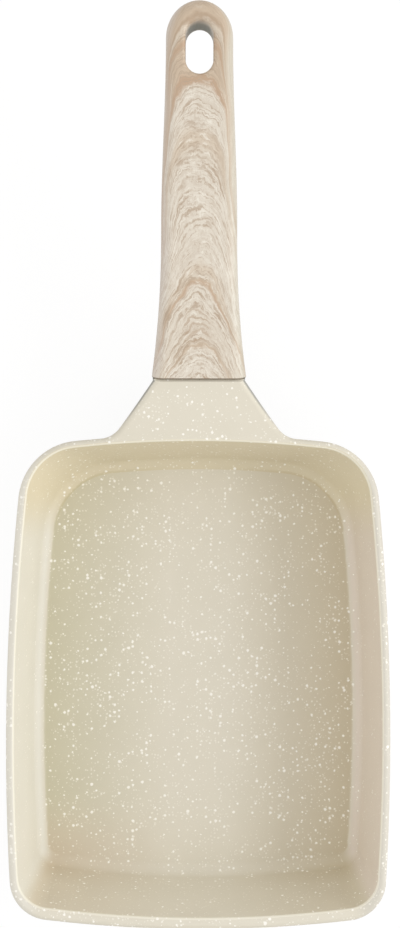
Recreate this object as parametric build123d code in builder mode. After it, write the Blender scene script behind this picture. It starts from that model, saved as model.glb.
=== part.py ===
from build123d import *
import os
from math import cos, radians, sin, tan

# Tamagoyaki pan: a rectangular die-cast pan with a moulded handle on a cast tang.
# The origin is the centre of the resting face, +Z is up and +Y points along the handle.
# Lengths are in millimetres and angles in degrees.

# Rim, seen from above: widest in the middle, narrower where the side and end arcs would cross
rim_length = 193.2
rim_width_middle = 149.9
rim_narrowing_rear = 13.1
rim_narrowing_front = 4.2
rim_bow_rear = 4.9
rim_bow_front = 5.2
rim_corner_rear = 23.7
rim_corner_front = 16.0
rim_outer_radius = 2.2
rim_inner_radius = 0.8

# Walls and floor; the wall is thickest at the front, and its inside leans more at both ends
rim_height = 39.0
side_wall = 3.4
rear_wall = 2.55
front_wall = 4.95
floor_thickness = 4.0
outer_draft = 6.0
side_inner_draft = 7.0
end_inner_draft = 11.5
floor_corner_rear = 32.0
floor_corner_front = 8.0
floor_fillet = 5.0
base_fillet = 6.0

# Perforated plate pressed into the base
plate_thickness = 0.8
plate_inset = 14.0
plate_corner_rear = 24.0
plate_corner_front = 12.0
plate_clearance = 0.15
perforation_diameter = 6.0
perforation_clearance = 0.1
perforation_side_margin = 14.5
perforation_end_margin = 17.0
perforation_columns = 7
perforation_row_pairs = 5

# Joint between neck and handle: its upper edge above the rim, and the slope of the handle there
joint_rise = 3.0
joint_slope = 16.0
joint_depth = 18.0
joint_step = 0.6

# Cast neck; its width at the wall is a share of the pan's width there
neck_length = 20.95
neck_half_width = 18.1
neck_root_share = 0.483
neck_draft = 4.0
neck_root_drop = 19.5
neck_root_radius = 10.0
neck_end_chamfer = 1.0
neck_reach = 10.0
bead_setback = 1.4
bead_radius = 9.0
bead_angle = 6.0
core_wall = 3.6
core_skin = 4.2
core_end_wall = 5.5
core_rib = 3.0
core_corner = 2.0
core_gap_to_wall = 2.0

# Tang that the handle is drawn onto
tang_width = 14.0
tang_depth = 7.5
tang_length = 42.0
tang_raise = 2.55
tang_corner = 2.0
tang_end_radius = 1.2
tang_clearance = 0.3

# Handle
handle_length = 139.3
handle_half_width_joint = 18.6
handle_half_width_waist = 14.45
handle_half_width_tip = 12.5
handle_waist = 55.0
handle_tip_round = 13.7
handle_tip_slope = 4.5
handle_tip_depth = 13.5
handle_top_radius = 4.5
handle_bottom_radius = 5.0
handle_end_radius = 0.5

# Hanging slot
slot_length = 19.0
slot_width = 10.4
slot_to_tip = 8.2
slot_edge_radius = 1.5

# Screw and washers under the handle
screw_distance = 26.0
screw_diameter = 5.0
screw_length = 12.0
screw_hole_clearance = 0.25
thread_clearance = 0.05
screw_end_chamfer = 0.5
head_diameter = 9.5
head_height = 3.7
head_edge_radius = 1.6
recess_width = 1.2
recess_length = 5.0
recess_depth = 2.0
flat_washer_diameter = 10.0
flat_washer_thickness = 1.0
spring_washer_diameter = 9.2
spring_washer_thickness = 1.2
spring_washer_slit = 1.0
washer_bore_clearance = 0.15
counterbore_diameter = 11.0
seat_wall = 2.2

# One overrun serves every cut and every stock that is trimmed later
overrun = 5.0

os.makedirs("parts", exist_ok=True)


# Widths of the pan at its two ends
rim_width_rear = rim_width_middle - rim_narrowing_rear
rim_width_front = rim_width_middle - rim_narrowing_front


def pan_outline(height, insets, rear_radius, front_radius):
    """Bowed rectangle of the pan at one height, inside the rim by its insets at the sides, rear and front."""
    side_inset, rear_inset, front_inset = insets
    rear = rim_length / 2 - rear_inset
    front = front_inset - rim_length / 2
    rear_corner = (rim_width_rear / 2 - side_inset, rear - rim_bow_rear)
    side_middle = (rim_width_middle / 2 - side_inset, 0)
    front_corner = (rim_width_front / 2 - side_inset, front + rim_bow_front)
    with BuildSketch(Plane.XY.offset(height)) as outline:
        with BuildLine():
            rear_arc = ThreePointArc((-rear_corner[0], rear_corner[1]), (0, rear), rear_corner)
            side_arc = ThreePointArc(rear_arc @ 1, side_middle, front_corner)
            front_arc = ThreePointArc(side_arc @ 1, (0, front), (-front_corner[0], front_corner[1]))
            ThreePointArc(front_arc @ 1, (-side_middle[0], 0), rear_arc @ 0)
        make_face()
        fillet(outline.vertices().group_by(Axis.Y)[-1], rear_radius)
        fillet(outline.vertices().group_by(Axis.Y)[0], front_radius)
    return outline.sketch


def outer_outline(height):
    """Outside of the wall, which leans in towards the base while its corners change."""
    below_rim = rim_height - height
    inset = below_rim * tan(radians(outer_draft))
    rear_change = floor_corner_rear + side_wall - rim_corner_rear
    front_change = floor_corner_front + side_wall - rim_corner_front
    return pan_outline(
        height,
        (inset, inset, inset),
        rim_corner_rear + rear_change * below_rim / rim_height,
        rim_corner_front + front_change * below_rim / rim_height,
    )


# Places that several pieces share
slope = radians(joint_slope)
rim_rear = rim_length / 2
rim_crest = rim_rear - bead_setback
joint_y = rim_rear + neck_length
handle_top = (joint_y, rim_height + joint_rise)
neck_top = (joint_y + joint_step * sin(slope), handle_top[1] - joint_step * cos(slope))
neck_bottom = (
    joint_y + (joint_depth - joint_step) * sin(slope),
    handle_top[1] - (joint_depth - joint_step) * cos(slope),
)
handle_bottom = (joint_y + joint_depth * sin(slope), handle_top[1] - joint_depth * cos(slope))
joint_plane = Plane(
    origin=(0, (handle_top[0] + handle_bottom[0]) / 2, (handle_top[1] + handle_bottom[1]) / 2),
    x_dir=(-1, 0, 0),
    z_dir=(0, cos(slope), sin(slope)),
)
tang_bottom = tang_raise - tang_depth / 2
seat_level = tang_bottom - seat_wall
seat_plane = Plane(
    origin=joint_plane.from_local_coords((0, seat_level, screw_distance)),
    x_dir=(1, 0, 0),
    z_dir=(0, sin(slope), -cos(slope)),
)


perforation_span = rim_width_middle - 2 * (plate_inset + perforation_side_margin)
perforation_pitch = perforation_span / (perforation_columns - 1)
perforation_row_span = rim_length - 2 * (plate_inset + perforation_end_margin)
perforation_row_pitch = perforation_row_span / (2 * perforation_row_pairs - 1)


def perforations(diameter):
    """Staggered rows of round perforations across the plate."""
    with BuildSketch() as pattern:
        with Locations((0, perforation_row_pitch / 2)):
            with GridLocations(
                perforation_pitch, 2 * perforation_row_pitch, perforation_columns, perforation_row_pairs
            ):
                Circle(diameter / 2)
        with Locations((0, -perforation_row_pitch / 2)):
            with GridLocations(
                perforation_pitch, 2 * perforation_row_pitch, perforation_columns - 1, perforation_row_pairs
            ):
                Circle(diameter / 2)
    return pattern.sketch


# Cavity of the pan, from the floor to the rim
side_lean = (rim_height - floor_thickness) * tan(radians(side_inner_draft))
end_lean = (rim_height - floor_thickness) * tan(radians(end_inner_draft))
with BuildPart() as cavity:
    loft(
        [
            pan_outline(
                floor_thickness,
                (side_wall + side_lean, rear_wall + end_lean, front_wall + end_lean),
                floor_corner_rear,
                floor_corner_front,
            ),
            pan_outline(
                rim_height,
                (side_wall, rear_wall, front_wall),
                rim_corner_rear - side_wall,
                rim_corner_front - side_wall,
            ),
        ]
    )
    fillet(cavity.edges().group_by(Axis.Z)[0], floor_fillet)

# The plate keeps the same distance from the rim all round, and its recess a little less
plate_insets = (plate_inset, plate_inset, plate_inset)
recess_inset = plate_inset - plate_clearance
recess_insets = (recess_inset, recess_inset, recess_inset)

# Stock of the neck: its side view, cut to its flared plan with casting draft
neck_widening = (neck_root_share * rim_width_rear / 2 - neck_half_width) / neck_length
wall_beside_neck = (1 - neck_root_share) * rim_width_rear / 2 - rim_corner_rear
neck_root_y = rim_rear - neck_reach
neck_root_half_width = neck_half_width + (neck_length + neck_reach) * neck_widening
neck_plan_end = neck_bottom[0] + overrun
with BuildPart() as neck:
    with BuildSketch(Plane.YZ):
        with BuildLine():
            Polyline(
                (neck_root_y, neck_top[1]),
                neck_top,
                neck_bottom,
                (neck_root_y, rim_height - neck_root_drop),
                close=True,
            )
        make_face()
    extrude(amount=rim_width_rear / 2, both=True)
    with BuildSketch(Plane.XY.offset(neck_top[1])):
        with BuildLine():
            Polyline(
                (-neck_root_half_width, neck_root_y),
                (-neck_half_width, joint_y),
                (-neck_half_width, neck_plan_end),
                (neck_half_width, neck_plan_end),
                (neck_half_width, joint_y),
                (neck_root_half_width, neck_root_y),
                close=True,
            )
        make_face()
    extrude(amount=-neck_top[1], taper=neck_draft, mode=Mode.INTERSECT)

# Pan body: wall, neck and tang in one casting
with BuildPart() as pan_body:
    loft([outer_outline(0), outer_outline(neck_top[1] + overrun)])
    fillet(pan_body.edges().group_by(Axis.Z)[0], base_fillet)
    add(neck)
    upright_edges = pan_body.edges().filter_by(lambda edge: abs(edge.tangent_at(0).Z) > cos(slope))
    root_edges = upright_edges.filter_by_position(Axis.Y, 0, rim_rear).sort_by(Axis.Y)[-2:]
    fillet(root_edges, min(neck_root_radius, wall_beside_neck))

    # The top follows one side view: flat rim, rounded crest, then a saddle up to the handle
    with BuildSketch(Plane.YZ):
        with BuildLine():
            flat = Line((-rim_length, rim_height), (rim_crest, rim_height))
            crest = JernArc(flat @ 1, flat % 1, bead_radius, -bead_angle)
            saddle = TangentArc(crest @ 1, neck_top, tangent=crest % 1)
            Polyline(
                saddle @ 1,
                (rim_length, neck_top[1]),
                (rim_length, neck_top[1] + 2 * overrun),
                (-rim_length, neck_top[1] + 2 * overrun),
                flat @ 0,
            )
        make_face()
    extrude(amount=rim_length, both=True, mode=Mode.SUBTRACT)
    top_faces = pan_body.faces().filter_by(
        lambda face: face.center().Z > neck_bottom[1] and face.normal_at().Z > cos(slope)
    )
    fillet(top_faces.edges().filter_by(Axis.X, reverse=True), rim_outer_radius)
    add(cavity, mode=Mode.SUBTRACT)
    fillet(pan_body.edges(Select.LAST).group_by(Axis.Z)[-1], rim_inner_radius)

    # Chamfer along the end of the neck, where it meets the handle
    with BuildSketch(Plane.YZ):
        with BuildLine():
            Polyline(
                (neck_top[0] - neck_end_chamfer * cos(slope), neck_top[1] - neck_end_chamfer * sin(slope)),
                (neck_top[0] + neck_end_chamfer * sin(slope), neck_top[1] - neck_end_chamfer * cos(slope)),
                (neck_top[0] + neck_end_chamfer, neck_top[1] + neck_end_chamfer),
                close=True,
            )
        make_face()
    extrude(amount=neck_half_width, both=True, mode=Mode.SUBTRACT)

    # Coring under the neck, with a rib down the middle
    core_start = rim_rear + core_gap_to_wall
    core_end = joint_y - core_end_wall
    core_start_half_width = neck_half_width + (joint_y - core_start) * neck_widening - core_wall
    with BuildSketch():
        with BuildLine():
            Polyline(
                (core_rib / 2, core_start),
                (core_start_half_width, core_start),
                (neck_half_width - core_wall, core_end),
                (core_rib / 2, core_end),
                close=True,
            )
        core_face = make_face()
        fillet(core_face.vertices(), core_corner)
        mirror(about=Plane.YZ)
    extrude(amount=rim_height - core_skin, mode=Mode.SUBTRACT)

    # Recess for the base plate, with nubs of the casting that fill its perforations
    with BuildSketch():
        add(pan_outline(0, recess_insets, plate_corner_rear, plate_corner_front))
        add(perforations(perforation_diameter - 2 * perforation_clearance), mode=Mode.SUBTRACT)
    extrude(amount=plate_thickness, mode=Mode.SUBTRACT)

    # Tang along the handle, tapped for the screw
    with BuildSketch(joint_plane):
        with Locations((0, tang_raise)):
            RectangleRounded(tang_width, tang_depth, tang_corner)
    extrude(amount=tang_length)
    fillet(pan_body.faces().sort_by(Axis.Y)[-1].edges(), tang_end_radius)
    with BuildSketch(seat_plane):
        Circle(screw_diameter / 2 + thread_clearance)
    extrude(amount=-(tang_depth + seat_wall + overrun), mode=Mode.SUBTRACT)


# Plate in the base: magnetic steel, perforated so that the casting grips it
with BuildPart() as induction_plate:
    with BuildSketch():
        add(pan_outline(0, plate_insets, plate_corner_rear, plate_corner_front))
        add(perforations(perforation_diameter), mode=Mode.SUBTRACT)
    extrude(amount=plate_thickness)

# Handle: its plan cut to its side view, then rounded along both long edges
waist_y = joint_y + handle_waist
tip_y = joint_y + handle_length
shoulder_y = tip_y - handle_tip_round
mean_slope = radians((joint_slope + handle_tip_slope) / 2)
tip_top = (tip_y, handle_top[1] + handle_length * tan(mean_slope))
tip_bottom = (tip_y, tip_top[1] - handle_tip_depth)
handle_axis = (cos(slope), sin(slope))
with BuildPart() as handle:
    with BuildSketch():
        with BuildLine():
            flare = TangentArc(
                (handle_half_width_waist, waist_y), (handle_half_width_joint, joint_y), tangent=(0, -1)
            )
            Spline(flare @ 0, (handle_half_width_tip, shoulder_y), tangents=[(0, 1), (0, 1)])
            mirror(about=Plane.YZ)
            EllipticalCenterArc((0, shoulder_y), handle_half_width_tip, handle_tip_round, arc_size=180)
            Line((-handle_half_width_joint, joint_y), (handle_half_width_joint, joint_y))
        make_face()
    extrude(amount=tip_top[1])
    with BuildSketch(Plane.YZ):
        with BuildLine():
            upper = TangentArc(handle_top, tip_top, tangent=handle_axis)
            lower = TangentArc(handle_bottom, tip_bottom, tangent=handle_axis)
            Line(upper @ 0, lower @ 0)
            Polyline(
                upper @ 1,
                (tip_y + overrun, tip_top[1]),
                (tip_y + overrun, tip_bottom[1]),
                lower @ 1,
            )
        make_face()
    extrude(amount=handle_half_width_joint, both=True, mode=Mode.INTERSECT)
    upper_face = handle.faces().sort_by(lambda face: face.normal_at().Z)[-1]
    fillet(upper_face.edges().filter_by(Axis.X, reverse=True), handle_top_radius)
    lower_face = handle.faces().sort_by(lambda face: face.normal_at().Z)[0]
    fillet(lower_face.edges().filter_by(Axis.X, reverse=True), handle_bottom_radius)
    fillet(handle.faces().sort_by(Axis.Y)[0].edges(), handle_end_radius)

    # Hanging slot, straight down through the tip
    with BuildSketch():
        with Locations((0, tip_y - slot_to_tip - slot_length / 2)):
            SlotOverall(slot_length, slot_width, rotation=90)
    extrude(amount=tip_top[1], mode=Mode.SUBTRACT)
    slot_edges = handle.edges(Select.LAST).filter_by(Axis.Z, reverse=True)
    fillet(slot_edges, slot_edge_radius)

    # Socket that the tang fills, resting on the socket's floor
    with BuildSketch(joint_plane):
        with Locations((0, tang_raise + tang_clearance / 2)):
            RectangleRounded(tang_width + 2 * tang_clearance, tang_depth + tang_clearance, tang_corner)
    extrude(amount=tang_length + tang_clearance, mode=Mode.SUBTRACT)

    # Screw bore through the socket's floor, and its counterbore from below
    with BuildSketch(seat_plane):
        Circle(screw_diameter / 2 + screw_hole_clearance)
    extrude(amount=-(seat_wall + tang_depth / 2), mode=Mode.SUBTRACT)
    with BuildSketch(seat_plane):
        Circle(counterbore_diameter / 2)
    extrude(amount=joint_depth, mode=Mode.SUBTRACT)

# Flat washer on the seat at the bottom of the counterbore
with BuildPart() as flat_washer:
    with BuildSketch(seat_plane):
        Circle(flat_washer_diameter / 2)
        Circle(screw_diameter / 2 + washer_bore_clearance, mode=Mode.SUBTRACT)
    extrude(amount=flat_washer_thickness)

# Spring washer, split on one side
with BuildPart() as spring_washer:
    with BuildSketch(seat_plane.offset(flat_washer_thickness)):
        Circle(spring_washer_diameter / 2)
        Circle(screw_diameter / 2 + washer_bore_clearance, mode=Mode.SUBTRACT)
        with Locations((spring_washer_diameter / 2, 0)):
            Rectangle(spring_washer_diameter, spring_washer_slit, mode=Mode.SUBTRACT)
    extrude(amount=spring_washer_thickness)

# Screw: pan head with a cross recess, and a plain shank where the thread would be
head_plane = seat_plane.offset(flat_washer_thickness + spring_washer_thickness)
with BuildPart() as handle_screw:
    with BuildSketch(head_plane):
        Circle(head_diameter / 2)
    extrude(amount=head_height)
    fillet(handle_screw.edges().sort_by(Axis(head_plane.origin, head_plane.z_dir))[-1], head_edge_radius)
    with BuildSketch(head_plane.offset(head_height)):
        Rectangle(recess_length, recess_width)
        Rectangle(recess_width, recess_length)
    extrude(amount=-recess_depth, mode=Mode.SUBTRACT)
    with BuildSketch(head_plane):
        Circle(screw_diameter / 2)
    extrude(amount=-screw_length)
    screw_end = handle_screw.edges().sort_by(Axis(head_plane.origin, head_plane.z_dir))[0]
    chamfer(screw_end, screw_end_chamfer)

pieces = {
    "pan_body": pan_body,
    "induction_plate": induction_plate,
    "handle": handle,
    "flat_washer": flat_washer,
    "spring_washer": spring_washer,
    "handle_screw": handle_screw,
}
for name, piece in pieces.items():
    piece.part.label = name
    export_step(piece.part, f"parts/{name}.step")
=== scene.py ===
from math import radians

import bpy
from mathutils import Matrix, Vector


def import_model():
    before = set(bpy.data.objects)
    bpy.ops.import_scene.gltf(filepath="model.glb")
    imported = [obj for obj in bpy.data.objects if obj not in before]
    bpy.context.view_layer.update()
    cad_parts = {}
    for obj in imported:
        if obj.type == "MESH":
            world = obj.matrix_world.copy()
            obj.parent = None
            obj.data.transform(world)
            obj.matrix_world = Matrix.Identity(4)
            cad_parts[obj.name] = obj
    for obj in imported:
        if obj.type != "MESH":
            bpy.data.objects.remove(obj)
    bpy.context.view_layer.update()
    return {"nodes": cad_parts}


# Looks of the tamagoyaki pan. The ground, lights and camera are placed in metres, and patterns are written in
# millimetres. A colour of three numbers is sRGB in steps of 255, and one of four is linear. A tint is linear
# too and multiplies the colour under it. A zone, or a step in noise, gives where it starts and where it is
# complete. In some of them the values at these two places follow.

# Camera straight above the pan, as far away as the photographer stood
CAMERA_PLACE = (0.0005, 0.08499, 0.5578)
CAMERA_ROLL = 0.12
CAMERA_LENS = 51.8

# Low softboxes on the right and left, the right one stronger, and an even surround that fills the shadows
SOFTBOX_AIM = (0.0, 0.0, 0.02)
SOFTBOX_SIZE = (0.9, 0.9)
RIGHT_PLACE = (1.269, 0.0, 0.612)
RIGHT_POWER = 10.0
LEFT_PLACE = (-1.269, 0.0, 0.612)
LEFT_POWER = 3.2
SURROUND_COLOR = (1.0, 0.985, 0.97, 1.0)
SURROUND_STRENGTH = 0.765
WHITE = (1.0, 1.0, 1.0, 1.0)

# Ground: near the pan a surface that takes the shadow, further out plain white
GROUND_HALF_SIZE = 6.0
GROUND_DROP = 0.0002
GROUND_CENTRE = (0.0, 80.0, 0.0)
GROUND_WHITE_ZONE = (300.0, 900.0)
GROUND_LIT = (0.14, 0.14, 0.14, 1.0)
GROUND_GLOW = 0.88
GROUND_REFLECTED = (0.45, 0.45, 0.45, 1.0)

# Coating: zones across the pan, measured from its middle
SIDE_WALL_ZONE = (54.0, 64.0)
SIDE_RIM_ZONE = (60.0, 68.0)
FLOOR_SIDE_ZONE = (12.0, 62.0)
RIGHT_ZONE = (-10.0, 10.0)

# Coating: zones along the pan, towards the handle or away from it
CAVITY_ZONE = (95.0, 94.4)
REAR_WALL_ZONE = (52.0, 76.0)
FLOOR_SHADE_FRONT_ZONE = (-50.0, -78.0)
NECK_ZONE = (92.0, 98.0)
NECK_EDGE_ZONE = (96.0, 112.0)
FRONT_WALL_SLANT = 0.6
FRONT_WALL_ZONE = (20.0, 12.0)

# Coating: zones by height, from the resting face up
GROUND_FACE_TOP = 0.03
FLOOR_ZONE = (4.15, 4.02)
FRONT_WALL_FADE = (6.0, 22.0, 1.0, 0.6)
RIM_ZONE = (36.0, 37.5)
RIM_HIGHLIGHT_ZONE = (38.1, 38.5)

# Coating: zones by the way that the surface faces
INSIDE_ZONE = (-8.0, -40.0)
FACING_ZONE = (-0.5, -6.0)
STEEP_ZONE = (0.88, 0.6)
NOT_UPRIGHT_ZONE = (0.08, 0.3)

CREAM_DEEP = (222, 216, 199)
CREAM_PALE = (228, 222, 206)
# Painted highlight along the rim's inner edge
RIM_HIGHLIGHT_COLOR = (242, 238, 222)
RIM_HIGHLIGHT_STRENGTH = 0.8
# Painted shade on the neck's edges next to the handle
NECK_EDGE_SHADE_COLOR = (160, 159, 151)
# Painted shade on the floor by the walls, on the left, at the front and on the right
FLOOR_SHADE_LEFT = (0.82, 0.82, 0.72, 1.0)
FLOOR_SHADE_FRONT = (0.87, 0.8, 0.72, 1.0)
FLOOR_SHADE_RIGHT = (0.83, 0.78, 0.68, 1.0)
# Painted light on the left side wall, painted shade on the right side wall and on the rear wall
WALL_LIGHT_LEFT = (1.0, 1.03, 1.08, 1.0)
WALL_SHADE_RIGHT = (0.985, 0.935, 0.96, 1.0)
WALL_SHADE_REAR = (0.957, 0.915, 0.8, 1.0)
# Painted light on the rim's outer edge on the left, and painted shade on it on the right
RIM_LIGHT_LEFT = (1.04, 1.06, 1.11, 1.0)
RIM_SHADE_RIGHT = (0.88, 0.89, 0.92, 1.0)

# Specks: spacing, smallest and largest radius, then how they are warped, chosen and edged
LARGE_SPECKS = (1.9, 0.1, 0.88)
SMALL_SPECKS = (1.25, 0.25, 0.58)
SPECK_WARP_SCALE = 1.1
SPECK_WARP = 0.6
SPECK_CHANCE = (0.25, 1.0)
SPECK_CORE = 0.45
LARGE_SPECK_COLOR = (255, 252, 243)
LARGE_SPECK_RELIEF = 0.4
SMALL_SPECK_COLOR = (250, 246, 234)
SMALL_SPECK_STRENGTH = 0.6

# Specks: the share of their size that they keep between clusters and in them, and on the neck, and the share
# that they lose on the inner walls, first at the ends of the pan and then at its sides
SPECK_CLUSTER_SIZE = 9.0
SPECK_CLUSTERS = (0.36, 0.56, 0.6, 0.98)
SPECK_SHARE_ON_NECK = 0.85
SPECK_LOSS_ON_WALLS = (0.2, 0.4)

# Handle: its top follows a parabola from the joint, and its axis there is square to the joint
HANDLE_TIP_Y = 256.85
HANDLE_JOINT_Y = 117.55
HANDLE_JOINT_Z = 42.0
HANDLE_JOINT_RISE = 0.28675
HANDLE_FALLOFF = 0.00076
HANDLE_AXIS = (0.0, 0.96126, 0.27564)

# Handle seen from above: half its width by the distance from its tip
TIP_HALF_WIDTH = 12.5
TIP_ROUND = 13.7
WAIST_FROM_TIP = 83.2
WAIST_WIDENING = 1.95
FLARE = 0.00137
LEAST_HALF_WIDTH = 1.0

# Wood: the arches' middle line, and how far a ring lags behind its crown by the distance from the tip
ARCH_SHIFT = -2.0
ARCH_SWAY = 5.0
ARCH_DEPTH = 0.8
ARCH_REACH = (25.0, 115.0, 12.0, 29.0)
ARCH_STEEPNESS = (50.0, 118.0, 1.2, 0.15)
ARCH_STEEP_POWER = 4.0
ARCH_LEAST_OPENING = 0.14
ARCH_BLUNTNESS = (45.0, 100.0, 2.5, 1.95)
COARSE_WAVE = 6.4
FINE_WAVE = 3.4

WOOD_LIGHT = (228, 220, 206)
WOOD_PALE = (222, 212, 196)
WOOD_SOFT = (217, 203, 184)
WOOD_TAN = (208, 189, 166)
WOOD_BROWN = (195, 166, 139)
WOOD_DARK = (181, 156, 130)

# Wood: the bands' colours in the order of the rings, from beyond the tip to beyond the joint
WOOD_BANDS = (
    (-60.0, WOOD_PALE), (-30.0, WOOD_TAN), (-14.0, WOOD_SOFT), (-4.0, WOOD_TAN),
    (4.0, WOOD_TAN), (6.2, WOOD_DARK), (8.0, WOOD_SOFT), (10.8, WOOD_PALE),
    (11.9, WOOD_DARK), (12.8, WOOD_TAN), (14.0, WOOD_BROWN), (16.0, WOOD_BROWN),
    (18.0, WOOD_TAN), (26.6, WOOD_TAN), (28.3, WOOD_BROWN), (30.4, WOOD_BROWN),
    (32.4, WOOD_LIGHT), (46.0, WOOD_LIGHT), (49.0, WOOD_SOFT), (52.6, WOOD_SOFT),
    (56.0, WOOD_PALE), (61.0, WOOD_LIGHT), (94.0, WOOD_LIGHT), (98.2, WOOD_SOFT),
    (99.8, WOOD_PALE), (101.6, WOOD_TAN), (102.6, WOOD_BROWN), (104.2, WOOD_LIGHT),
    (124.4, WOOD_PALE), (125.6, WOOD_TAN), (127.4, WOOD_LIGHT),
)
WOOD_BANDS_START = -60.0
WOOD_BANDS_END = 138.0

# Wood: lines, dashes, hairlines and flecks along the rings, and how they change along the handle
LINE_COLOR = (184, 164, 142)
FLECK_COLOR = (244, 239, 227)
RING_LINES = (0.48, 0.6, 0.0, 0.85)
LINE_GAPS = (0.36, 0.6)
LINE_GAPS_REACH = (45.0, 25.0, 0.2, 0.75)
DASHES = (0.49, 0.64)
DASHES_CROWDED = (0.38, 0.6, 0.25, 0.95)
RUN_ACROSS = 0.3
HAIRLINES = (0.52, 0.62)
HAIRLINES_REACH = (60.0, 30.0, 0.25, 0.75)
FLECKS = (0.43, 0.34, 0.0, 0.6)
FLECKS_REACH = (26.0, 38.0, 0.25, 1.0)

# Wood: short rungs near the pan, and fibres and pores all along
RUNG_RATE = 2.4
RUNG_EDGE = (0.1, 0.9)
RUNG_STRENGTH = 0.55
RUNG_WIDTH = (6.0, 3.6)
RUNG_START = (111.0, 114.0)
RUNG_END = (127.0, 124.5)
FIBRES = (0.5, 0.7, 0.0, 0.38)
FIBRE_COLOR = (194, 175, 153)
PORES = (0.64, 0.74, 0.0, 0.35)
PORE_COLOR = (178, 160, 138)

# Wood: the hanging slot's wall, partly bare moulding and partly painted shade, then painted shade on the
# handle's sides and at the edge at the joint
SLOT_BARE_AND_SHADE_COLOR = (131, 131, 114)
SLOT_TOP = (1.0, 7.0)
SLOT_BOTTOM = (12.8, 11.6)
SLOT_ENDS = (5.2, 3.4, 0.3, 1.0)
SLOT_HALF_WIDTH = 6.8
SLOT_TIP_END = (4.0, 5.0)
SLOT_NECK_END = (30.0, 29.0)
# Painted shade on the handle's rounded sides, pinker on the left and greener on the right
SIDE_SHADE_ZONE = (0.7, 1.0, 0.0, 0.32)
SIDE_CHANGE = (-4.0, 4.0)
LEFT_SIDE_SHADE = (206, 195, 192)
RIGHT_SIDE_SHADE = (194, 196, 182)
# Painted shade of the groove at the joint with the neck
JOINT_EDGE = (0.75, 0.35)
JOINT_SHADE_COLOR = (128, 114, 96)

# Bare metals, each from a darker to a paler colour, and how lines are stretched where a tool ground across
GROUND_METAL = ((186, 187, 188), (214, 214, 213))
PLATE_STEEL = ((158, 156, 152), (190, 188, 184))
PLATE_STAIN = (170, 160, 146)
PLATE_STAINS = (0.45, 0.7, 0.0, 0.3)
ZINC = ((178, 182, 188), (208, 209, 206))
GRINDING = (0.03, 1.0, 1.0)

# Finishes: the limits of noise between which roughness changes, then each one's roughness and depth of relief
NOISE_MIDDLE = (0.3, 0.7)
COATING_ROUGHNESS = (0.42, 0.52)
COATING_RELIEF = 0.012
METAL_ROUGHNESS = (0.3, 0.42)
METAL_RELIEF = 0.006
FILM_ROUGHNESS = (0.38, 0.48)
FILM_RELIEF = 0.01
PLATE_ROUGHNESS = (0.3, 0.45)
PLATE_RELIEF = 0.008
ZINC_ROUGHNESS = (0.24, 0.4)
ZINC_RELIEF = 0.004


def linear(steps):
    """Linear colour of an sRGB colour given in steps of 255."""
    shares = [step / 255 for step in steps]
    return tuple(s / 12.92 if s <= 0.04045 else ((s + 0.055) / 1.055) ** 2.4 for s in shares) + (1.0,)


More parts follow.
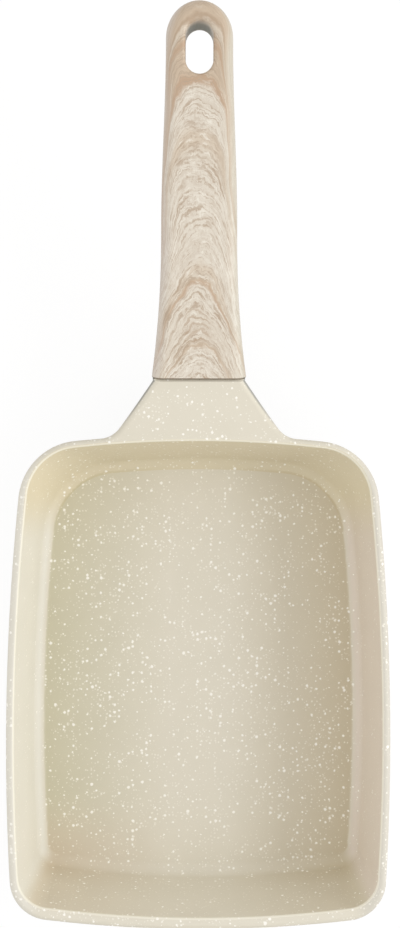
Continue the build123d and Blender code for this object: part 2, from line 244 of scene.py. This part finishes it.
class Shader:
    """Node tree of a material or world, with short calls that return output sockets."""

    def __init__(self, owner):
        self.owner = owner
        owner.use_nodes = True
        self.tree = owner.node_tree
        self.tree.nodes.clear()

    def node(self, kind, inputs=(), **settings):
        """A node with its settings, and each input linked or set."""
        made = self.tree.nodes.new("ShaderNode" + kind)
        for name, value in settings.items():
            setattr(made, name, value)
        for key, value in dict(inputs).items():
            if isinstance(value, bpy.types.NodeSocket):
                self.tree.links.new(value, made.inputs[key])
            else:
                made.inputs[key].default_value = value
        return made

    def place(self):
        """Point on the object, in millimetres."""
        return self.scaled(self.node("TexCoord").outputs["Object"], 1000.0)

    def axes(self, vector):
        """The three numbers of a vector."""
        return self.node("SeparateXYZ", {0: vector}).outputs

    def math(self, operation, *values):
        """One step of arithmetic."""
        return self.node("Math", enumerate(values), operation=operation).outputs[0]

    def product(self, first, *others):
        """All the values multiplied."""
        for value in others:
            first = self.math("MULTIPLY", first, value)
        return first

    def rest(self, share):
        """What a share leaves of 1."""
        return self.math("SUBTRACT", 1.0, share)

    def vector(self, operation, first, second):
        """One step of arithmetic on two vectors that gives a vector."""
        return self.node("VectorMath", {0: first, 1: second}, operation=operation).outputs["Vector"]

    def measure(self, operation, first, second):
        """One step of arithmetic on two vectors that gives a number."""
        return self.node("VectorMath", {0: first, 1: second}, operation=operation).outputs["Value"]

    def scaled(self, vector, factor):
        """A vector times one factor."""
        return self.node("VectorMath", {0: vector, "Scale": factor}, operation="SCALE").outputs[0]

    def stretched(self, vector, x, y, z):
        """A vector with each axis scaled by its own factor."""
        return self.vector("MULTIPLY", vector, (x, y, z))

    def climb(self, value, start, end):
        """A straight step from 0 at start to 1 at end."""
        return self.node("MapRange", {"Value": value, "From Min": start, "From Max": end}).outputs[0]

    def fade(self, value, start, end, low=0.0, high=1.0):
        """A smooth step from low at start to high at end."""
        limits = {"Value": value, "From Min": start, "From Max": end, "To Min": low, "To Max": high}
        return self.node("MapRange", limits, interpolation_type="SMOOTHSTEP").outputs[0]

    def noise(self, vector, size, detail=2.0, roughness=0.5):
        """Soft noise from 0 to 1 whose blobs are about as large as the size."""
        inputs = {"Vector": vector, "Scale": 1 / size, "Detail": detail, "Roughness": roughness}
        return self.node("TexNoise", inputs).outputs["Fac"]

    def noise_along(self, distance, rate, detail, roughness):
        """Noise from 0 to 1 that changes with one distance only."""
        inputs = {"W": distance, "Scale": rate, "Detail": detail, "Roughness": roughness}
        return self.node("TexNoise", inputs, noise_dimensions="1D").outputs["Fac"]

    def ramp(self, value, start, end, stops):
        """A colour that runs through the stops, each a place between start and end and a colour."""
        ramp = self.node("ValToRGB", {"Fac": self.climb(value, start, end)})
        elements = ramp.color_ramp.elements
        elements.remove(elements[1])
        for number, (place, color) in enumerate(stops):
            share = (place - start) / (end - start)
            element = elements.new(share) if number else elements[0]
            element.position = share
            element.color = linear(color)
        return ramp.outputs["Color"]

    def mix(self, factor, first, second, blend="MIX"):
        """Two colours blended by the factor."""
        made = self.node("Mix", {0: factor, 6: first, 7: second}, data_type="RGBA", blend_type=blend)
        return made.outputs[2]

    def tinted(self, factor, color, tint):
        """A colour multiplied by a tint, as far as the factor goes."""
        return self.mix(factor, color, tint, "MULTIPLY")

    def bump(self, height, depth):
        """Normal of a surface whose relief is that many millimetres deep."""
        return self.node("Bump", {"Height": height, "Distance": depth / 1000}).outputs["Normal"]

    def surface(self, **inputs):
        """A principled surface; underscores stand for spaces."""
        return self.node("BsdfPrincipled", {k.replace("_", " "): v for k, v in inputs.items()}).outputs[0]

    def blended(self, factor, first, second):
        """Two surfaces or lights blended by the factor."""
        return self.node("MixShader", {0: factor, 1: first, 2: second}).outputs[0]

    def finish(self, surface, output="OutputMaterial"):
        """Connects the surface and gives the material or world back."""
        self.node(output, {"Surface": surface})
        return self.owner


def new_material(name):
    """Shader of a new material."""
    return Shader(bpy.data.materials.new(name))


def specks(shader, place, share, spacing, smallest, largest):
    """Mask of irregular round specks, one to a cell, each with a share of its size."""
    warp_inputs = {"Vector": place, "Scale": SPECK_WARP_SCALE, "Detail": 1.0}
    warp = shader.node("TexNoise", warp_inputs).outputs["Color"]
    warped = shader.vector("ADD", place, shader.scaled(warp, SPECK_WARP))
    cells = shader.node("TexVoronoi", {"Vector": warped, "Scale": 1 / spacing})
    chance = shader.axes(cells.outputs["Color"])[0]
    radius = shader.product(shader.fade(chance, *SPECK_CHANCE, smallest, largest), share)
    distance = shader.product(cells.outputs["Distance"], spacing)
    return shader.fade(distance, radius, shader.product(radius, SPECK_CORE))


def coating_specks(shader, place, inside):
    """Masks of the large and the small specks, which are smaller on the inner walls and on the neck."""
    x, y = shader.axes(place)[0:2]
    aside = shader.math("ABSOLUTE", x)
    loss = shader.product(inside, shader.fade(aside, *SIDE_WALL_ZONE, *SPECK_LOSS_ON_WALLS))
    clusters = shader.fade(shader.noise(place, SPECK_CLUSTER_SIZE), *SPECK_CLUSTERS)
    on_neck = shader.fade(y, *NECK_ZONE, 1.0, SPECK_SHARE_ON_NECK)
    share = shader.product(clusters, shader.rest(loss), on_neck)
    large = specks(shader, place, share, *LARGE_SPECKS)
    small = specks(shader, place, share, *SMALL_SPECKS)
    return large, small


def coating_tone_and_painted_light(shader, place, outward, cavity, inside):
    """Cream with painted shade and light on the floor, the walls and the rim, and a painted highlight along
    the rim's inner edge.
    """
    x, y, height = shader.axes(place)[0:3]
    aside = shader.math("ABSOLUTE", x)
    rightward = shader.fade(x, *RIGHT_ZONE)
    facing = shader.product(shader.fade(outward, *FACING_ZONE), cavity)
    front = shader.fade(shader.math("MULTIPLY_ADD", y, FRONT_WALL_SLANT, aside), *FRONT_WALL_ZONE)
    front = shader.product(front, facing)
    rear_wall_shade = shader.product(facing, shader.fade(y, *REAR_WALL_ZONE))
    cream = shader.mix(shader.noise(place, 14.0, 3.0), linear(CREAM_DEEP), linear(CREAM_PALE))

    # Painted shade: the floor darkens towards the side walls, and so do the ends of the front wall
    flat = shader.fade(height, *FLOOR_ZONE)
    low = shader.product(front, shader.fade(height, *FRONT_WALL_FADE))
    painted_floor_shade = shader.product(shader.climb(aside, *FLOOR_SIDE_ZONE), shader.math("MAXIMUM", flat, low))
    tint = shader.mix(shader.fade(y, *FLOOR_SHADE_FRONT_ZONE), FLOOR_SHADE_LEFT, FLOOR_SHADE_FRONT)
    cream = shader.tinted(painted_floor_shade, cream, shader.mix(rightward, tint, FLOOR_SHADE_RIGHT))

    # Painted light on the left side wall and painted shade on the right one, which is also pinker, and
    # painted shade on the rear wall, which is also yellower
    ends = shader.math("MAXIMUM", front, rear_wall_shade)
    side_wall_light_and_shade = shader.product(inside, shader.fade(aside, *SIDE_WALL_ZONE), shader.rest(ends))
    cream = shader.tinted(side_wall_light_and_shade, cream, shader.mix(rightward, WALL_LIGHT_LEFT, WALL_SHADE_RIGHT))
    cream = shader.tinted(rear_wall_shade, cream, WALL_SHADE_REAR)

    # The rim differs from the walls on each side, with painted light on the left and painted shade on the
    # right, and has a painted highlight along its inner edge
    rim_light_and_shade = shader.product(
        shader.fade(height, *RIM_ZONE), shader.rest(inside), shader.fade(aside, *SIDE_RIM_ZONE)
    )
    cream = shader.tinted(rim_light_and_shade, cream, shader.mix(rightward, RIM_LIGHT_LEFT, RIM_SHADE_RIGHT))
    # Painted highlight along the rim's inner edge
    line = shader.product(inside, shader.fade(height, *RIM_HIGHLIGHT_ZONE), RIM_HIGHLIGHT_STRENGTH)
    return shader.mix(line, cream, linear(RIM_HIGHLIGHT_COLOR))


def speckled_coating():
    """Cream non-stick coating with pale specks and painted light and shade, and bare ground metal on the
    resting face.
    """
    shader = new_material("speckled_coating")
    place = shader.place()
    y, height = shader.axes(place)[1:3]

    # The inside of the walls faces the middle of the pan
    normal = shader.node("TexCoord").outputs["Normal"]
    outward = shader.measure("DOT_PRODUCT", normal, shader.stretched(place, 1.0, 1.0, 0.0))
    cavity = shader.fade(y, *CAVITY_ZONE)
    inside = shader.product(shader.fade(outward, *INSIDE_ZONE), cavity)
    large, small = coating_specks(shader, place, inside)
    color = coating_tone_and_painted_light(shader, place, outward, cavity, inside)
    color = shader.mix(shader.product(small, SMALL_SPECK_STRENGTH), color, linear(SMALL_SPECK_COLOR))
    color = shader.mix(large, color, linear(LARGE_SPECK_COLOR))

    # Painted shade: the neck's edges are greyer next to the handle
    rising = shader.axes(normal)[2]
    neck_edge_shade = shader.product(
        shader.fade(rising, *STEEP_ZONE),
        shader.fade(rising, *NOT_UPRIGHT_ZONE),
        shader.fade(y, *NECK_EDGE_ZONE),
    )
    color = shader.mix(neck_edge_shade, color, linear(NECK_EDGE_SHADE_COLOR))
    grain = shader.noise(place, 0.7)
    relief = shader.math("ADD", grain, shader.product(large, LARGE_SPECK_RELIEF))
    coating = shader.surface(
        Base_Color=color,
        Roughness=shader.fade(grain, *NOISE_MIDDLE, *COATING_ROUGHNESS),
        Specular_IOR_Level=0.4,
        Normal=shader.bump(relief, COATING_RELIEF),
    )
    lines = shader.noise(shader.stretched(place, *GRINDING), 0.25, 3.0)
    metal = shader.surface(
        Base_Color=shader.mix(lines, *map(linear, GROUND_METAL)),
        Metallic=1.0,
        Roughness=shader.fade(lines, *NOISE_MIDDLE, *METAL_ROUGHNESS),
        Normal=shader.bump(lines, METAL_RELIEF),
    )
    resting_face = shader.math("LESS_THAN", height, GROUND_FACE_TOP)
    return shader.finish(shader.blended(resting_face, coating, metal))


def half_width(shader, from_tip):
    """Half the handle's width at a distance from its tip: a round end, then a taper and a flare."""
    fall = shader.rest(shader.math("MINIMUM", shader.math("DIVIDE", from_tip, TIP_ROUND), 1.0))
    roundness = shader.math("SQRT", shader.rest(shader.product(fall, fall)))
    width = shader.product(TIP_HALF_WIDTH, roundness)
    widening = shader.fade(from_tip, TIP_ROUND, WAIST_FROM_TIP, 0.0, WAIST_WIDENING)
    width = shader.math("ADD", width, widening)
    beyond = shader.math("MAXIMUM", shader.math("SUBTRACT", from_tip, WAIST_FROM_TIP), 0.0)
    width = shader.math("MULTIPLY_ADD", shader.product(beyond, beyond), FLARE, width)
    return shader.math("MAXIMUM", width, LEAST_HALF_WIDTH)


def handle_depth(shader, y, z):
    """How far a point lies under the line along the handle's top."""
    along = shader.math("SUBTRACT", y, HANDLE_JOINT_Y)
    bend = shader.product(along, along, -HANDLE_FALLOFF)
    rise = shader.math("MULTIPLY_ADD", along, HANDLE_JOINT_RISE, HANDLE_JOINT_Z)
    return shader.math("SUBTRACT", shader.math("ADD", rise, bend), z)


def arches(shader, place, from_tip, depth):
    """Distance from the arches' middle line, its share of the half width, and the ring's place."""
    x = shader.axes(place)[0]
    sway = shader.noise(shader.stretched(place, 0.0, 1.0, 0.0), 30.0, 1.0)
    centred = shader.math("MULTIPLY_ADD", sway, ARCH_SWAY, shader.math("ADD", x, ARCH_SHIFT))
    sunk = shader.product(depth, ARCH_DEPTH)
    squares = shader.math("ADD", shader.product(centred, centred), shader.product(sunk, sunk))
    spread = shader.math("SQRT", squares)
    share = shader.math("DIVIDE", spread, half_width(shader, from_tip))

    # A ring lags behind its crown, more so towards the handle's sides
    steepness = shader.fade(from_tip, *ARCH_STEEPNESS)
    opening = shader.rest(shader.product(steepness, shader.math("POWER", share, ARCH_STEEP_POWER)))
    opening = shader.math("MAXIMUM", opening, ARCH_LEAST_OPENING)
    blunted = shader.math("POWER", share, shader.fade(from_tip, *ARCH_BLUNTNESS))
    reached = shader.product(shader.fade(from_tip, *ARCH_REACH), blunted)
    ring = shader.math("SUBTRACT", from_tip, shader.math("DIVIDE", reached, opening))

    # Waves make it uneven
    coarse = shader.noise(shader.stretched(place, 1.0, 0.6, 1.0), 8.0)
    fine = shader.noise(shader.stretched(place, 1.0, 0.8, 1.0), 2.0, 3.0, 0.6)
    for wave, width in ((coarse, COARSE_WAVE), (fine, FINE_WAVE)):
        ring = shader.math("ADD", ring, shader.math("MULTIPLY_ADD", wave, width, -width / 2))
    return spread, share, ring


def ring_lines(shader, place, from_tip, ring):
    """Masks of the dark lines and the light flecks along the rings."""
    x, _, z = shader.axes(place)[0:3]
    fine = shader.noise_along(ring, 0.65, 5.0, 0.8)
    broken = shader.noise(shader.stretched(place, 1.0, 0.6, 1.0), 1.8)
    broken = shader.fade(broken, *LINE_GAPS, shader.fade(from_tip, *LINE_GAPS_REACH), 1.0)
    line = shader.product(shader.fade(fine, *RING_LINES), broken)

    # Dashes, short on the crowns and long on the flanks, and crowded in places
    across = [shader.product(axis, RUN_ACROSS) for axis in (x, z)]
    run = shader.node("CombineXYZ", {0: ring, 1: across[0], 2: across[1]}).outputs[0]
    dashes = shader.noise(run, 1.5, 3.0, 0.62)
    crowded = shader.noise(shader.stretched(run, 1.0, 2.0, 2.0), 9.0, 1.0)
    crowded = shader.fade(crowded, *DASHES_CROWDED)
    line = shader.math("MAXIMUM", line, shader.product(shader.fade(dashes, *DASHES), crowded))

    # Hairlines are stronger near the tip, and flecks further from it
    hairs = shader.fade(shader.noise_along(ring, 1.3, 3.0, 0.7), *HAIRLINES)
    hairs = shader.product(hairs, shader.fade(from_tip, *HAIRLINES_REACH))
    line = shader.math("MAXIMUM", line, hairs)
    flecks = shader.product(shader.fade(dashes, *FLECKS), shader.fade(from_tip, *FLECKS_REACH))
    return line, flecks


def slot_wall(shader, aside, depth, from_tip):
    """Mask of the hanging slot's wall."""
    return shader.product(
        shader.fade(depth, *SLOT_TOP),
        shader.fade(depth, *SLOT_BOTTOM),
        shader.fade(aside, *SLOT_ENDS),
        shader.math("LESS_THAN", aside, SLOT_HALF_WIDTH),
        shader.fade(from_tip, *SLOT_TIP_END),
        shader.fade(from_tip, *SLOT_NECK_END),
    )


def wood_film():
    """Pale wood print: arches that point to the tip, with fibres along the handle."""
    shader = new_material("wood_film")
    place = shader.place()
    x, y, z = shader.axes(place)[0:3]
    from_tip = shader.math("SUBTRACT", HANDLE_TIP_Y, y)
    depth = handle_depth(shader, y, z)
    spread, share, ring = arches(shader, place, from_tip, depth)
    color = shader.ramp(ring, WOOD_BANDS_START, WOOD_BANDS_END, WOOD_BANDS)
    line, flecks = ring_lines(shader, place, from_tip, ring)
    color = shader.mix(line, color, linear(LINE_COLOR))
    color = shader.mix(flecks, color, linear(FLECK_COLOR))

    # Short rungs in the middle, near the pan
    rungs = shader.fade(shader.math("SINE", shader.product(ring, RUNG_RATE)), *RUNG_EDGE)
    rungs = shader.product(rungs, shader.fade(spread, *RUNG_WIDTH))
    zone = shader.product(shader.fade(ring, *RUNG_START), shader.fade(ring, *RUNG_END))
    color = shader.mix(shader.product(rungs, zone, RUNG_STRENGTH), color, linear(WOOD_DARK))

    # Fibres, and pores that the film prints as short dashes
    fibres = shader.noise(shader.stretched(place, 1.0, 0.05, 1.0), 0.5, 4.0, 0.65)
    color = shader.mix(shader.fade(fibres, *FIBRES), color, linear(FIBRE_COLOR))
    pores = shader.noise(shader.stretched(place, 1.0, 0.16, 1.0), 0.32)
    color = shader.mix(shader.fade(pores, *PORES), color, linear(PORE_COLOR))

    # The slot's wall is darker, partly bare moulding and partly painted shade; the handle's sides are greyer
    # with painted shade; and the edge at the joint is brown with painted shade of its groove
    slot_bare_and_shade = slot_wall(shader, shader.math("ABSOLUTE", x), depth, from_tip)
    color = shader.mix(slot_bare_and_shade, color, linear(SLOT_BARE_AND_SHADE_COLOR))
    side_shade_color = shader.mix(shader.fade(x, *SIDE_CHANGE), linear(LEFT_SIDE_SHADE), linear(RIGHT_SIDE_SHADE))
    color = shader.mix(shader.fade(share, *SIDE_SHADE_ZONE), color, side_shade_color)
    from_joint = shader.vector("SUBTRACT", place, (0.0, HANDLE_JOINT_Y, HANDLE_JOINT_Z))
    reached = shader.measure("DOT_PRODUCT", from_joint, HANDLE_AXIS)
    color = shader.mix(shader.fade(reached, *JOINT_EDGE), color, linear(JOINT_SHADE_COLOR))
    surface = shader.surface(
        Base_Color=color,
        Roughness=shader.fade(fibres, *NOISE_MIDDLE, *FILM_ROUGHNESS),
        Specular_IOR_Level=0.45,
        Normal=shader.bump(fibres, FILM_RELIEF),
    )
    return shader.finish(surface)


def ground_steel():
    """Base plate, ground across its width, with faint stains."""
    shader = new_material("ground_steel")
    place = shader.place()
    lines = shader.noise(shader.stretched(place, *GRINDING), 0.3, 4.0, 0.6)
    stain = shader.fade(shader.noise(place, 22.0), *PLATE_STAINS)
    surface = shader.surface(
        Base_Color=shader.mix(stain, shader.mix(lines, *map(linear, PLATE_STEEL)), linear(PLATE_STAIN)),
        Metallic=1.0,
        Roughness=shader.fade(lines, *NOISE_MIDDLE, *PLATE_ROUGHNESS),
        Normal=shader.bump(lines, PLATE_RELIEF),
    )
    return shader.finish(surface)


def zinc_plating():
    """Bright plating on the screw and its washers."""
    shader = new_material("zinc_plating")
    place = shader.place()
    cloud = shader.noise(place, 1.6, 3.0)
    surface = shader.surface(
        Base_Color=shader.mix(cloud, *map(linear, ZINC)),
        Metallic=1.0,
        Roughness=shader.fade(cloud, *NOISE_MIDDLE, *ZINC_ROUGHNESS),
        Normal=shader.bump(shader.noise(place, 0.4), ZINC_RELIEF),
    )
    return shader.finish(surface)


def seen_directly(shader):
    """1 for rays that show the background: from the camera, a reflection or through glass."""
    path = shader.node("LightPath").outputs
    mirrored = shader.math("MAXIMUM", path["Is Glossy Ray"], path["Is Transmission Ray"])
    return shader.math("MAXIMUM", path["Is Camera Ray"], mirrored)


def white_floor():
    """White ground that takes the shadow near the pan and turns plain white further out."""
    shader = new_material("white_floor")
    from_centre = shader.measure("DISTANCE", shader.place(), GROUND_CENTRE)
    far = shader.fade(from_centre, *GROUND_WHITE_ZONE)
    lit = shader.node("BsdfDiffuse", {"Color": GROUND_LIT}).outputs[0]
    glow = shader.node("Emission", {"Color": WHITE, "Strength": GROUND_GLOW}).outputs[0]
    near_look = shader.node("AddShader", {0: lit, 1: glow}).outputs[0]
    far_look = shader.node("Emission", {"Color": WHITE, "Strength": 1.0}).outputs[0]
    plain = shader.node("BsdfDiffuse", {"Color": GROUND_REFLECTED}).outputs[0]
    shown = shader.blended(far, near_look, far_look)
    return shader.finish(shader.blended(seen_directly(shader), plain, shown))


def add_floor():
    """Flat ground just under the resting face."""
    size = GROUND_HALF_SIZE
    corners = [(x, y, -GROUND_DROP) for x, y in ((-size, -size), (size, -size), (size, size), (-size, size))]
    mesh = bpy.data.meshes.new("ground")
    mesh.from_pydata(corners, [], [(0, 1, 2, 3)])
    mesh.materials.append(white_floor())
    ground = bpy.data.objects.new("ground", mesh)
    bpy.context.scene.collection.objects.link(ground)


def add_surround():
    """Even light from all round, with a white background where it is seen."""
    shader = Shader(bpy.data.worlds.new("surround"))
    fill = shader.node("Background", {"Color": SURROUND_COLOR, "Strength": SURROUND_STRENGTH}).outputs[0]
    white = shader.node("Background", {"Color": WHITE, "Strength": 1.0}).outputs[0]
    shown = shader.blended(seen_directly(shader), fill, white)
    bpy.context.scene.world = shader.finish(shown, "OutputWorld")


def add_softbox(name, place, power):
    """Large square light, turned to face the pan."""
    lamp = bpy.data.lights.new(name, "AREA")
    lamp.shape = "RECTANGLE"
    lamp.size, lamp.size_y = SOFTBOX_SIZE
    lamp.energy = power
    softbox = bpy.data.objects.new(name, lamp)
    softbox.location = place
    aim = Vector(SOFTBOX_AIM) - Vector(place)
    softbox.rotation_euler = aim.to_track_quat("-Z", "X").to_euler()
    bpy.context.scene.collection.objects.link(softbox)


def add_camera():
    """Camera that looks straight down."""
    camera = bpy.data.objects.new("camera", bpy.data.cameras.new("camera"))
    camera.data.lens = CAMERA_LENS
    camera.location = CAMERA_PLACE
    camera.rotation_euler = (0.0, 0.0, radians(CAMERA_ROLL))
    bpy.context.scene.collection.objects.link(camera)
    bpy.context.scene.camera = camera


def main():
    """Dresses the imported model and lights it."""
    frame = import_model()
    zinc = zinc_plating()
    finishes = {
        "pan_body": speckled_coating(),
        "induction_plate": ground_steel(),
        "handle": wood_film(),
        "flat_washer": zinc,
        "spring_washer": zinc,
        "handle_screw": zinc,
    }
    for name, material in finishes.items():
        for slot in frame["nodes"][name].material_slots:
            slot.material = material
    add_floor()
    add_surround()
    add_softbox("right_softbox", RIGHT_PLACE, RIGHT_POWER)
    add_softbox("left_softbox", LEFT_PLACE, LEFT_POWER)
    add_camera()
    bpy.context.scene.view_settings.view_transform = "Standard"


main()
